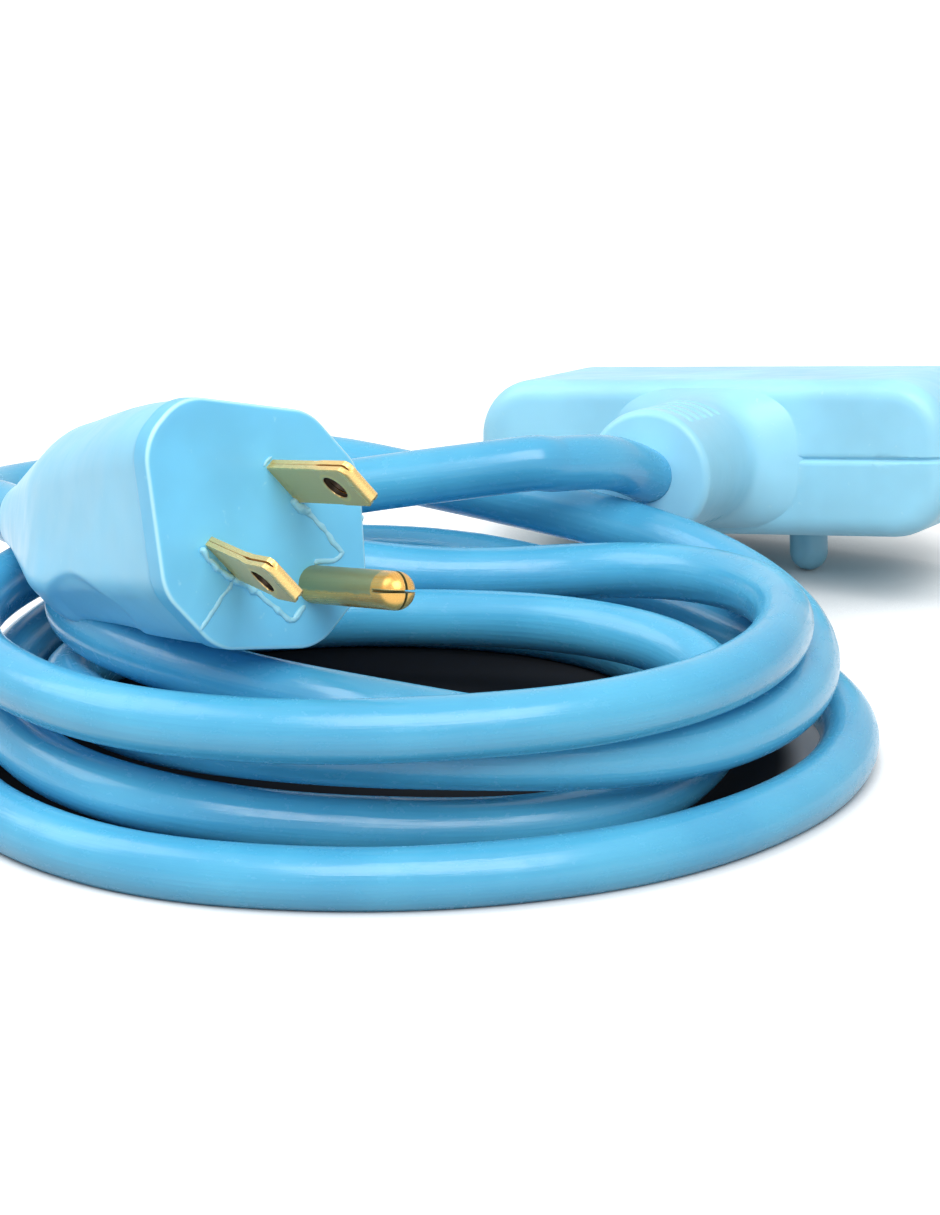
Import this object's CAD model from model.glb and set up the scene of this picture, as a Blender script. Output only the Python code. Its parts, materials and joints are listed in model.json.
"""A coiled three-wire power cord with a moulded grounding plug and a three-outlet block.

Every piece is a surface worked out with numpy in the plug's, the block's or the coil's own frame, in
millimetres, and put into the row frame in metres. Each sub-assembly is a class, and so is each finish.
"""

from __future__ import annotations

import json
import logging
import math
from dataclasses import dataclass, field
from enum import Enum
from typing import Any, Sequence

import bmesh
import bpy
import numpy as np
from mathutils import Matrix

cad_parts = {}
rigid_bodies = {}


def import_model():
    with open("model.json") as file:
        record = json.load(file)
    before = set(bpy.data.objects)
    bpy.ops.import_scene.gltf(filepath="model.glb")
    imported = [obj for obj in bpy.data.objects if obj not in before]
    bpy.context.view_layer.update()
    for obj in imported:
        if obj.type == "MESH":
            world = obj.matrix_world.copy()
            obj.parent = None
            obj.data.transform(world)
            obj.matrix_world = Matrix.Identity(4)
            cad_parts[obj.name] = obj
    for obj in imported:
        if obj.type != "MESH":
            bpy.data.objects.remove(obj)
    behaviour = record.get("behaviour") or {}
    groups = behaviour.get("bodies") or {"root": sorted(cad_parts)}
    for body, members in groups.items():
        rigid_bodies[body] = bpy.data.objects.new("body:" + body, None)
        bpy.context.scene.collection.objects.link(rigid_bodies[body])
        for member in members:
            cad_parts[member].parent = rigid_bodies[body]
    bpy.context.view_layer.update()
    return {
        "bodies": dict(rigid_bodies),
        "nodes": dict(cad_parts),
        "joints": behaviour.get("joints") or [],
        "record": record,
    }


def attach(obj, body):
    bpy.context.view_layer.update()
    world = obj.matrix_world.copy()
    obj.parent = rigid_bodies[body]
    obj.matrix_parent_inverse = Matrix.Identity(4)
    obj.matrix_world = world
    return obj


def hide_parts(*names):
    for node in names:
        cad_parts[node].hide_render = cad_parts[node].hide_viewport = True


LOG = logging.getLogger("power_cord")
MM = 0.001
# Points closer than this are merged and edges shorter than this dissolved, in scene units
MERGED, DISSOLVED = 1e-6, 1e-7
# The standard pattern of a grounding plug, in millimetres: distance between the blades, distance of
# the pin from the line through them, and height of a blade's hole over the face
BLADE_PITCH = 12.7
PIN_OFFSET = 11.9
HOLE_AT = 11.9
Colour = tuple[float, float, float]
Piece = bpy.types.Object


# ---- Frames and curves -------------------------------------------------------------------------


def unit(vectors: np.ndarray) -> np.ndarray:
    """Vectors divided by their length.

    Args:
        vectors: Array whose last axis holds the components.

    Returns:
        Array of the same shape with unit vectors.
    """
    return vectors / np.linalg.norm(vectors, axis=-1, keepdims=True)


def ramp(x: np.ndarray, low: float, high: float) -> np.ndarray:
    """Smooth step from 0 at low to 1 at high: t squared times (3 - 2 t)."""
    t = np.clip((np.asarray(x, float) - low) / (high - low), 0.0, 1.0)
    return t * t * (3.0 - 2.0 * t)


def circle(sides: int) -> np.ndarray:
    """Angles of evenly spaced points round a circle."""
    return np.linspace(0, 2 * math.pi, sides, endpoint=False)


def quarter(count: int) -> np.ndarray:
    """Angles over a quarter of a circle, with both ends."""
    return np.linspace(0, math.pi / 2, count)


def turn(axis: int, degrees: float) -> np.ndarray:
    """Matrix that turns points about one axis.

    The plane of the other two axes has the cosine on its diagonal and minus and plus the sine beside it.

    Args:
        axis: 0, 1 or 2, for X, Y or Z.
        degrees: The angle.

    Returns:
        A 3 by 3 matrix.
    """
    c, s = math.cos(math.radians(degrees)), math.sin(math.radians(degrees))
    a, b = [(1, 2), (2, 0), (0, 1)][axis]
    matrix = np.eye(3)
    matrix[a, a] = matrix[b, b] = c
    matrix[a, b], matrix[b, a] = -s, s
    return matrix


# Origin of the row frame, measured from the coil's middle on the floor, in millimetres
LAYOUT_ORIGIN = np.array([14.72, 34.49, 0.0])


@dataclass(frozen=True)
class Frame:
    """A local frame in the layout, in millimetres.

    Attributes:
        origin: Its origin, measured from the coil's middle.
        axes: Matrix whose columns are its X, Y and Z directions.
    """

    origin: np.ndarray
    axes: np.ndarray

    def place(self, points: np.ndarray) -> np.ndarray:
        """Local millimetres to the row frame, in metres."""
        return (points @ self.axes.T + self.origin - LAYOUT_ORIGIN) * MM


COIL_FRAME = Frame(np.zeros(3), np.eye(3))
PLUG_FRAME = Frame(np.array([-21.4, -31.6, 42.3]), turn(2, -53.3) @ turn(1, 78.3) @ turn(2, -52.2))
BLOCK_FRAME = Frame(np.array([30.9, 53.0, 24.0]), turn(2, -25.0) @ turn(0, -8.0) @ turn(1, -6.0))
# Keeps millimetres as scene units, for a piece that is cut before it is placed
RAW = Frame(np.zeros(3), np.eye(3) / MM)


def spline(keys: np.ndarray, steps: int) -> np.ndarray:
    """Uniform cubic B-spline that starts and ends on its outer steering points.

    Each point is a weighted sum of four neighbouring keys; a mirrored key is added at each end.

    Args:
        keys: Steering points, one per row.
        steps: Number of points between two keys.

    Returns:
        Points along the curve, one per row.
    """
    padded = np.vstack([2 * keys[0] - keys[1], keys, 2 * keys[-1] - keys[-2]])
    t = np.arange(steps)[:, None] / steps
    weights = np.hstack([(1 - t) ** 3, 3 * t**3 - 6 * t**2 + 4, 1 + 3 * t + 3 * t**2 - 3 * t**3, t**3]) / 6
    windows = np.stack([padded[i : len(padded) - 3 + i] for i in range(4)], axis=1)
    curve = np.einsum("sw,nwd->nsd", weights, windows).reshape(-1, keys.shape[1])
    return np.vstack([curve, keys[-1]])


def distances(points: np.ndarray) -> np.ndarray:
    """Distance along a line from its start to each of its points."""
    return np.concatenate([[0.0], np.cumsum(np.linalg.norm(np.diff(points, axis=0), axis=1))])


def spaced(points: np.ndarray, step: float) -> np.ndarray:
    """The same line with evenly spaced points, by linear interpolation over its length.

    Args:
        points: Points of the line, one per row.
        step: Their distance, which is rounded so that a whole number of steps fits.

    Returns:
        Points of the new line, one per row.
    """
    reach = distances(points)
    at = np.linspace(0.0, reach[-1], max(int(round(reach[-1] / step)), 2) + 1)
    return np.stack([np.interp(at, reach, points[:, k]) for k in range(points.shape[1])], axis=1)


# ---- Meshes ------------------------------------------------------------------------------------


def grid_faces(rows: int, cols: int) -> np.ndarray:
    """Quads of a grid of rows whose columns close into a ring.

    Args:
        rows: Number of rings.
        cols: Points in a ring.

    Returns:
        Four point numbers per quad.
    """
    r, c = np.meshgrid(np.arange(rows - 1), np.arange(cols), indexing="ij")
    a, b = r * cols + c, r * cols + (c + 1) % cols
    return np.stack([a, b, b + cols, a + cols], axis=-1).reshape(-1, 4)


def enclosed(points: np.ndarray, faces: np.ndarray) -> float:
    """Signed volume: a sixth of the triple products of the faces' triangles.

    Args:
        points: The mesh's points.
        faces: Its quads.

    Returns:
        The volume, below 0 where the faces look inwards.
    """
    a, b, c, d = (points[faces[:, k]] for k in range(4))
    products = np.einsum("ij,ij->i", a, np.cross(b, c)) + np.einsum("ij,ij->i", a, np.cross(c, d))
    return float(products.sum() / 6)


@dataclass
class Skin:
    """A closed surface: rings of points, of which the first and last shrink to a point or a line.

    Attributes:
        rings: Array of rings by points by 3, in local millimetres.
        marks: Values per point, by name, that a finish reads as attributes.
    """

    rings: np.ndarray
    marks: dict[str, np.ndarray] = field(default_factory=dict)

    def piece(self, name: str, frame: Frame, sharp: float = 35.0) -> Piece:
        """Makes the object, with merged seams and outward faces.

        Args:
            name: The object's name.
            frame: The frame that the rings are in.
            sharp: Edges that turn by more than this, in degrees, stay sharp.

        Returns:
            The object, at the origin, with its place in its mesh.
        """
        rows, cols = self.rings.shape[:2]
        local = self.rings.reshape(-1, 3)
        faces = grid_faces(rows, cols)
        if enclosed(local, faces) < 0:
            faces = faces[:, ::-1]
        mesh = bpy.data.meshes.new(name)
        mesh.from_pydata(frame.place(local).tolist(), [], faces.tolist())
        for mark, values in {"local": local, **self.marks}.items():
            kind, key = ("FLOAT_VECTOR", "vector") if values.shape[-1:] == (3,) else ("FLOAT", "value")
            data = mesh.attributes.new(mark, kind, "POINT").data
            data.foreach_set(key, np.ascontiguousarray(values, np.float32).ravel())
        return finished(link(bpy.data.objects.new(name, mesh)), sharp)


def link(piece: Piece) -> Piece:
    """Puts an object into the scene's collection."""
    bpy.context.scene.collection.objects.link(piece)
    return piece


def finished(piece: Piece, sharp: float) -> Piece:
    """Merges doubled points, drops faces with no area and shades the mesh smooth up to an angle.

    Args:
        piece: A mesh object.
        sharp: The angle, in degrees.

    Returns:
        The same object.
    """
    work = bmesh.new()
    work.from_mesh(piece.data)
    bmesh.ops.remove_doubles(work, verts=work.verts, dist=MERGED)
    bmesh.ops.dissolve_degenerate(work, edges=work.edges, dist=DISSOLVED)
    work.to_mesh(piece.data)
    work.free()
    piece.data.shade_smooth()
    piece.data.set_sharp_from_angle(angle=math.radians(sharp))
    return piece


def applied(piece: Piece) -> Piece:
    """Turns a piece's modifiers into its mesh.

    Args:
        piece: A mesh object with modifiers.

    Returns:
        The same object.
    """
    graph = bpy.context.evaluated_depsgraph_get()
    mesh = bpy.data.meshes.new_from_object(piece.evaluated_get(graph))
    piece.modifiers.clear()
    piece.data = mesh
    return piece


class Join(Enum):
    """How one closed mesh is combined with another."""

    CUT = "DIFFERENCE"
    ADD = "UNION"


def combined(piece: Piece, other: Piece, how: Join) -> Piece:
    """Cuts a closed mesh out of a piece, or adds it, and removes it.

    Args:
        piece: The mesh that stays.
        other: The mesh that is used up.
        how: Cut or add.

    Returns:
        The piece, with the result in its mesh.
    """
    modifier = piece.modifiers.new("join", "BOOLEAN")
    modifier.operation = how.value
    modifier.solver = "EXACT"
    modifier.object = other
    applied(piece)
    bpy.data.objects.remove(other)
    return piece


def softened(piece: Piece, width: float, angle: float) -> Piece:
    """Rounds a piece's sharp edges.

    Args:
        piece: A mesh object.
        width: Width of the rounding, in the units of its mesh.
        angle: Edges that turn by more than this, in degrees, are rounded.

    Returns:
        The same object.
    """
    bevel = piece.modifiers.new("edges", "BEVEL")
    bevel.width = width
    bevel.segments = 2
    bevel.limit_method = "ANGLE"
    bevel.angle_limit = math.radians(angle)
    bevel.miter_outer = "MITER_ARC"
    bevel.use_clamp_overlap = True
    return applied(piece)


def raw_points(piece: Piece) -> np.ndarray:
    """Points of a piece that was made in the RAW frame, in its own millimetres.

    Args:
        piece: The piece.

    Returns:
        One point per row.
    """
    flat = np.empty(len(piece.data.vertices) * 3, np.float32)
    piece.data.vertices.foreach_get("co", flat)
    return flat.reshape(-1, 3).astype(float) + LAYOUT_ORIGIN * MM


def placed(piece: Piece, frame: Frame, local: np.ndarray, sharp: float) -> Piece:
    """Gives a piece's points new places and finishes its mesh.

    Args:
        piece: The piece.
        frame: The frame of the new places.
        local: The new places, in that frame's millimetres.
        sharp: Edges that turn by more than this, in degrees, stay sharp.

    Returns:
        The same object.
    """
    piece.data.vertices.foreach_set("co", frame.place(local).astype(np.float32).ravel())
    piece.data.update()
    return finished(piece, sharp)


def capped(rings: np.ndarray, line: np.ndarray) -> np.ndarray:
    """Rings with a point at each end, taken from their middle line."""
    first, last = (np.broadcast_to(line[k], rings[:1].shape) for k in (0, -1))
    return np.concatenate([first, rings, last])


def tube(path: np.ndarray, radii: np.ndarray, sides: int, up: Sequence[float] = (0, 0, 1)) -> np.ndarray:
    """Rings along a path, each square to it: centre plus radius times (cosine side + sine up).

    Args:
        path: Centres of the rings, one per row.
        radii: Radius of each ring, or of each point of each ring.
        sides: Number of points in a ring.
        up: A direction that the path never runs along.

    Returns:
        Array of rings by sides by 3, closed by a point at each end.
    """
    along = unit(np.gradient(path, axis=0))
    side = unit(np.cross(along, np.asarray(up, float)))
    over = np.cross(side, along)
    angle = circle(sides)
    reach = np.broadcast_to(np.atleast_2d(np.asarray(radii, float).T).T, (len(path), sides))
    rings = path[:, None] + reach[..., None] * (
        np.cos(angle)[None, :, None] * side[:, None] + np.sin(angle)[None, :, None] * over[:, None]
    )
    return capped(rings, path)


def rounded_polygon(corners: np.ndarray, radius: float, arc: int, spacing: float) -> np.ndarray:
    """Outline with rounded corners and evenly spaced points.

    A corner becomes an arc that is tangent to both its sides, with its centre on their bisector.

    Args:
        corners: Corner points in order, one per row.
        radius: Corner radius.
        arc: Points per arc.
        spacing: Distance between the points of the result.

    Returns:
        Points of the closed outline, without the first one repeated.
    """
    before, after = unit(np.roll(corners, 1, 0) - corners), unit(np.roll(corners, -1, 0) - corners)
    half = np.arccos(np.einsum("ij,ij->i", before, after)) / 2
    bisector = unit(before + after)
    centre = corners + bisector * (radius / np.sin(half))[:, None]
    start = corners + before * (radius / np.tan(half))[:, None] - centre
    end = corners + after * (radius / np.tan(half))[:, None] - centre
    t = np.linspace(0, 1, arc)[None, :, None]
    bend = unit(start[:, None] * (1 - t) + end[:, None] * t) * radius
    points = (centre[:, None] + bend).reshape(-1, 2)
    return spaced(np.vstack([points, points[:1]]), spacing)[:-1]


def box_outline(wide: float, high: float, radius: float, arc: int, spacing: float) -> np.ndarray:
    """Outline of a box with rounded corners.

    Args:
        wide: Its width.
        high: Its height.
        radius: Corner radius.
        arc: Points per corner.
        spacing: Distance between the points of the result.

    Returns:
        Points of the closed outline.
    """
    corners = np.array([[1, 1], [-1, 1], [-1, -1], [1, -1]]) * [wide / 2, high / 2]
    return rounded_polygon(corners, radius, arc, spacing)

# ---- Shader expressions ------------------------------------------------------------------------


class Val:
    """A node's output; arithmetic on it adds Math nodes to the same tree."""

    def __init__(self, tree: "Tree", socket: bpy.types.NodeSocket) -> None:
        """Wraps a socket of a tree."""
        self.tree = tree
        self.socket = socket

    def _op(self, operation: str, *values: Any) -> "Val":
        """Adds one Math node."""
        return self.tree.add("ShaderNodeMath", {"operation": operation}, dict(enumerate(values)))

    def __add__(self, other: Any) -> "Val":
        """Sum."""
        return self._op("ADD", self, other)

    def __sub__(self, other: Any) -> "Val":
        """Difference."""
        return self._op("SUBTRACT", self, other)

    def __rsub__(self, other: Any) -> "Val":
        """Difference from a number."""
        return self._op("SUBTRACT", other, self)

    def __mul__(self, other: Any) -> "Val":
        """Product."""
        return self._op("MULTIPLY", self, other)

    def __pow__(self, other: float) -> "Val":
        """Power."""
        return self._op("POWER", self, other)

    __radd__ = __add__
    __rmul__ = __mul__

    def size(self) -> "Val":
        """Absolute value."""
        return self._op("ABSOLUTE", self)

    def at_most(self, other: Any) -> "Val":
        """The lesser of two values."""
        return self._op("MINIMUM", self, other)

    def at_least(self, other: Any) -> "Val":
        """The greater of two values."""
        return self._op("MAXIMUM", self, other)

    def step(self, low: float, high: float) -> "Val":
        """Smooth step from 0 at low to 1 at high; it falls where low is above high.

        Args:
            low: Value where it is 0.
            high: Value where it is 1.

        Returns:
            The step.
        """
        flip = low > high
        ends = (high, low) if flip else (low, high)
        settings = {"interpolation_type": "SMOOTHSTEP"}
        out = self.tree.add("ShaderNodeMapRange", settings, {0: self, 1: ends[0], 2: ends[1]})
        return 1 - out if flip else out


class Tree:
    """Node tree of one material or of the world."""

    def __init__(self, owner: bpy.types.Material | bpy.types.World) -> None:
        """Clears the owner's tree.

        Args:
            owner: The material or world.
        """
        owner.use_nodes = True
        self.nodes = owner.node_tree.nodes
        self.links = owner.node_tree.links
        self.nodes.clear()

    def add(
        self,
        kind: str,
        settings: dict[str, Any] | None = None,
        sockets: dict[Any, Any] | None = None,
        out: Any = 0,
    ) -> Val:
        """Adds one node: its settings first, then the values or links of its sockets.

        Args:
            kind: The node's type.
            settings: Its properties.
            sockets: Values or Val by input name or number.
            out: Which output to return.

        Returns:
            The chosen output.
        """
        node = self.nodes.new(kind)
        for key, value in (settings or {}).items():
            setattr(node, key, value)
        for key, value in (sockets or {}).items():
            if isinstance(value, Val):
                self.links.new(value.socket, node.inputs[key])
            else:
                node.inputs[key].default_value = value
        return Val(self, node.outputs[out] if len(node.outputs) else None)

    def place(self) -> Val:
        """Object coordinates, in metres."""
        return self.add("ShaderNodeTexCoord", out="Object")

    def mark(self, name: str) -> Val:
        """A number that is stored on the mesh's points."""
        return self.add("ShaderNodeAttribute", {"attribute_name": name}, out="Fac")

    def local(self) -> tuple[Val, Val, Val, Val]:
        """The piece's own millimetres.

        Returns:
            The vector and its three parts.
        """
        vector = self.add("ShaderNodeAttribute", {"attribute_name": "local"}, out="Vector")
        parts = [self.add("ShaderNodeSeparateXYZ", {}, {0: vector}, out=k) for k in range(3)]
        return (vector, *parts)

    def stretch(self, vector: Val, scale: Sequence[float]) -> Val:
        """A vector scaled along each axis."""
        return self.add("ShaderNodeMapping", {}, {"Vector": vector, "Scale": tuple(scale)})

    def noise(self, vector: Val, scale: float, detail: float = 3.0, rough: float = 0.5) -> Val:
        """Noise from 0 to 1."""
        sockets = {"Vector": vector, "Scale": scale, "Detail": detail, "Roughness": rough}
        return self.add("ShaderNodeTexNoise", {"noise_dimensions": "3D"}, sockets)

    def mix(self, factor: Any, low: Any, high: Any) -> Val:
        """Colour mix.

        Args:
            factor: Share of high, from 0 to 1.
            low: The first colour.
            high: The second colour.

        Returns:
            The mixed colour.
        """
        settings = {"data_type": "RGBA", "clamp_factor": True}
        pair = [(*c, 1.0) if isinstance(c, tuple) else c for c in (low, high)]
        return self.add("ShaderNodeMix", settings, {0: factor, 6: pair[0], 7: pair[1]}, out=2)

    def bump(self, height: Val, distance: float, strength: float = 1.0, under: Val | None = None) -> Val:
        """Normal from a height.

        Args:
            height: The height, from 0 to 1.
            distance: How high 1 is, in millimetres.
            strength: Share of the relief.
            under: A normal that it lies on.

        Returns:
            The normal.
        """
        sockets: dict[Any, Any] = {"Strength": strength, "Distance": distance * MM, "Height": height}
        if under is not None:
            sockets["Normal"] = under
        return self.add("ShaderNodeBump", {}, sockets)

    def surface(self, **sockets: Any) -> None:
        """Adds a principled shader and wires it to the output.

        Args:
            sockets: Its inputs by name, with underscores for spaces.
        """
        named = {key.replace("_", " "): value for key, value in sockets.items()}
        shader = self.add("ShaderNodeBsdfPrincipled", {}, named)
        self.add("ShaderNodeOutputMaterial", {}, {"Surface": shader})


# ---- Finishes ----------------------------------------------------------------------------------


class Look:
    """What a finish looks like. Each kind of finish wires its own nodes.

    Attributes:
        name: The material's name.
    """

    name: str

    def wire(self, tree: Tree) -> None:
        """Adds the nodes to an empty tree."""
        raise NotImplementedError

    def material(self) -> bpy.types.Material:
        """Makes the material.

        Returns:
            A new material with the finish's nodes.
        """
        made = bpy.data.materials.new(self.name)
        self.wire(Tree(made))
        return made


@dataclass(frozen=True)
class MouldedPvc(Look):
    """Flexible PVC as it comes from a mould: satin, faintly mottled, paler where it is thin.

    Attributes:
        name: The material's name.
        colour: Linear base colour.
        pale: Colour of thin edges and worn spots.
        rough: Middle roughness.
        grain: Depth of the surface's grain, in millimetres.
        rim: Whether the mesh holds a mark named rim for its pale edges.
    """

    name: str
    colour: Colour
    pale: Colour
    rough: float = 0.36
    grain: float = 0.02
    rim: bool = False

    def wire(self, tree: Tree) -> None:
        """Wires clouds and specks in the colour, and smears and grain in the relief.

        Args:
            tree: The material's empty tree.
        """
        place = tree.place()
        cloud = tree.noise(place, 60.0, 3.0)
        speck = tree.noise(place, 900.0, 2.0)
        smear = tree.noise(tree.stretch(place, (1.0, 3.0, 1.0)), 160.0, 4.0, 0.6)
        deep = tuple(c * 0.86 for c in self.colour)
        base = tree.mix(cloud.step(0.35, 0.7), deep, self.colour)
        base = tree.mix(speck.step(0.68, 0.82) * 0.25, base, self.pale)
        if self.rim:
            base = tree.mix(tree.mark("rim"), base, self.pale)
        rough = (smear.step(0.3, 0.75) * 0.16 + (self.rough - 0.08)).at_most(1.0)
        dents = tree.bump(cloud, self.grain * 8, 0.5)
        normal = tree.bump(speck * 0.6 + smear * 0.8, self.grain, 0.7, dents)
        tree.surface(
            Base_Color=base,
            Roughness=rough,
            Normal=normal,
            Subsurface_Weight=0.18,
            Subsurface_Radius=(0.35, 0.8, 1.0),
            Subsurface_Scale=0.0025,
            IOR=1.48,
        )


@dataclass(frozen=True)
class JacketPvc(Look):
    """Extruded PVC jacket: glossy, with faint draw lines along it, scuffs and a few stains.

    Attributes:
        name: The material's name.
        colour: Linear base colour.
        shade: Colour of the deeper patches.
        stain: Colour of the stains.
    """

    name: str
    colour: Colour
    shade: Colour
    stain: Colour = (0.20, 0.36, 0.20)

    def wire(self, tree: Tree) -> None:
        """Wires the jacket, whose UV map runs along it and round it, in millimetres.

        Args:
            tree: The material's empty tree.
        """
        place = tree.place()
        run = tree.add("ShaderNodeUVMap", {"uv_map": "run"})
        drawn = tree.noise(tree.stretch(run, (0.04, 1.0, 1.0)), 1.6, 3.0, 0.6)
        cloud = tree.noise(place, 45.0, 3.0)
        patch = tree.noise(tree.stretch(run, (0.25, 1.0, 1.0)), 0.11, 2.0)
        scuff = tree.noise(tree.stretch(place, (1.0, 1.0, 2.0)), 420.0, 5.0, 0.65)
        base = tree.mix(cloud.step(0.35, 0.68), self.shade, self.colour)
        base = tree.mix(patch.step(0.70, 0.80) * cloud.step(0.5, 0.7) * 0.35, base, self.stain)
        rough = scuff.step(0.45, 0.8) * 0.22 + 0.19
        waves = tree.bump(drawn, 0.10, 0.5)
        normal = tree.bump(scuff + cloud * 2, 0.012, 0.6, waves)
        tree.surface(
            Base_Color=base,
            Roughness=rough,
            Normal=normal,
            Subsurface_Weight=0.10,
            Subsurface_Radius=(0.3, 0.7, 1.0),
            Subsurface_Scale=0.002,
            IOR=1.5,
        )


@dataclass(frozen=True)
class RolledBrass(Look):
    """Rolled brass strip: drawn lines along it, grey-green film on its flats, bright edges and tip.

    Attributes:
        name: The material's name.
        bright: Colour of clean brass.
        film: Colour of the film.
        along: Scale of the drawn lines along X, Y and Z of the piece's own frame.
        worn: Whether the mesh holds a mark named worn, from 0, under the film, to 1, bright.
        hole_at: Height of a drilled hole, whose rim is bright and whose wall is dark.
    """

    name: str
    bright: Colour = (0.88, 0.60, 0.22)
    film: Colour = (0.78, 0.53, 0.23)
    along: tuple[float, float, float] = (6.0, 6.0, 0.25)
    worn: bool = True
    hole_at: float | None = None

    def wire(self, tree: Tree) -> None:
        """Wires film over bright brass, and the rim and wall of a drilled hole.

        Args:
            tree: The material's empty tree.
        """
        if self.worn:
            vector, thick, across, rise = tree.local()
            bare = tree.mark("worn")
        else:
            vector, bare = tree.stretch(tree.place(), (1000, 1000, 1000)), tree.noise(tree.place(), 90.0)
        lines = tree.noise(tree.stretch(vector, self.along), 1.0, 4.0, 0.7)
        blotch = tree.noise(vector, 0.55, 5.0, 0.62)
        clean = (bare + (blotch - 0.5) * 0.9).step(0.3, 0.75)
        base = tree.mix(clean, self.film, self.bright)
        base = tree.mix(blotch.step(0.62, 0.78) * 0.5, base, tuple(0.45 * c for c in self.film))
        if self.hole_at is not None:
            # Bright from 2.0 to 2.3 mm off the hole's middle, and dark inside it between the flats
            off = ((rise - self.hole_at) ** 2 + across**2) ** 0.5
            base = tree.mix(off.step(2.45, 2.25) * off.step(1.95, 2.0), base, self.bright)
            wall = off.step(1.98, 1.92) * thick.size().step(0.70, 0.62)
            base = tree.mix(wall, base, (0.02, 0.012, 0.006))
        rough = (1 - clean) * 0.14 + lines * 0.16 + 0.18
        normal = tree.bump(lines, 0.03, 0.6, tree.bump(blotch, 0.05, 0.4))
        tree.surface(Base_Color=base, Roughness=rough, Normal=normal, Metallic=0.76 - clean * 0.2)


@dataclass(frozen=True)
class InnerPlastic(Look):
    """Plain plastic inside the mouldings: a rigid insert or a core's insulation.

    Attributes:
        name: The material's name.
        colour: Linear base colour.
        rough: Middle roughness.
    """

    name: str
    colour: Colour
    rough: float = 0.45

    def wire(self, tree: Tree) -> None:
        """Wires a faint cloud in colour, roughness and relief.

        Args:
            tree: The material's empty tree.
        """
        cloud = tree.noise(tree.place(), 250.0, 4.0)
        base = tree.mix(cloud, tuple(0.8 * c for c in self.colour), self.colour)
        rough = cloud * 0.2 + (self.rough - 0.1)
        tree.surface(Base_Color=base, Roughness=rough, Normal=tree.bump(cloud, 0.04))


@dataclass(frozen=True)
class StrandedCopper(Look):
    """Bare twisted copper strands: slanted bands in colour and relief.

    Attributes:
        name: The material's name.
        colour: Linear base colour.
    """

    name: str
    colour: Colour = (0.85, 0.38, 0.20)

    def wire(self, tree: Tree) -> None:
        """Wires slanted bands.

        Args:
            tree: The material's empty tree.
        """
        place = tree.place()
        settings = {"wave_type": "BANDS", "bands_direction": "DIAGONAL"}
        sockets = {"Vector": place, "Scale": 900.0, "Distortion": 0.4}
        bands = tree.add("ShaderNodeTexWave", settings, sockets, out="Fac")
        base = tree.mix(bands, tuple(0.35 * c for c in self.colour), self.colour)
        tree.surface(Base_Color=base, Roughness=0.3, Metallic=1.0, Normal=tree.bump(bands, 0.1))


class Finish(Enum):
    """The record's material slots and what each one looks like."""

    PLUG = ("plug_pvc", MouldedPvc("plug_vinyl", (0.17, 0.62, 0.93), (0.50, 0.85, 0.98), 0.36, 0.018, True))
    BLOCK = ("block_pvc", MouldedPvc("block_vinyl", (0.36, 0.76, 0.96), (0.66, 0.90, 0.98), 0.40, 0.025))
    FLASH = ("plug_pvc", MouldedPvc("torn_vinyl", (0.33, 0.74, 0.95), (0.62, 0.87, 0.97), 0.42, 0.03))
    CORD = ("cord_pvc", JacketPvc("jacket_vinyl", (0.10, 0.47, 0.72), (0.075, 0.40, 0.65)))
    BLADE = ("brass", RolledBrass("blade_brass", hole_at=HOLE_AT))
    PIN = ("pin_brass", RolledBrass("pin_brass", (0.74, 0.41, 0.10), (0.34, 0.32, 0.15), (5.0, 5.0, 0.2)))
    BUS = ("brass", RolledBrass("bus_brass", worn=False))
    INSERT = ("insert", InnerPlastic("insert_nylon", (0.80, 0.79, 0.74)))
    BLACK = ("black_pvc", InnerPlastic("line_insulation", (0.03, 0.03, 0.03)))
    WHITE = ("white_pvc", InnerPlastic("neutral_insulation", (0.85, 0.85, 0.82)))
    GREEN = ("green_pvc", InnerPlastic("ground_insulation", (0.04, 0.36, 0.10)))
    COPPER = ("copper", StrandedCopper("copper_strands"))

    @property
    def slot(self) -> str:
        """The record's slot."""
        return self.value[0]


class Paint:
    """Makes each finish's material once and puts it on pieces and CAD nodes."""

    def __init__(self) -> None:
        """Starts with no materials."""
        self.made: dict[Finish, bpy.types.Material] = {}

    def dress(self, piece: Piece, finish: Finish) -> None:
        """Gives an object one material in all its slots.

        Args:
            piece: The object.
            finish: Its finish.
        """
        if finish not in self.made:
            self.made[finish] = finish.value[1].material()
        piece.data.materials.clear()
        piece.data.materials.append(self.made[finish])

    def hand_over(self, piece: Piece, finish: Finish, replaced: Sequence[str] = ()) -> None:
        """Dresses a new piece, puts it on the part's one body and names its slot and its nodes.

        Args:
            piece: The piece.
            finish: Its finish.
            replaced: The CAD nodes that it replaces.
        """
        self.dress(piece, finish)
        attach(piece, "root")
        finish.slot
        if replaced:
            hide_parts(*replaced)
        LOG.info("%s: %d faces", piece.name, len(piece.data.polygons))


# ---- Cord --------------------------------------------------------------------------------------


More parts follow.
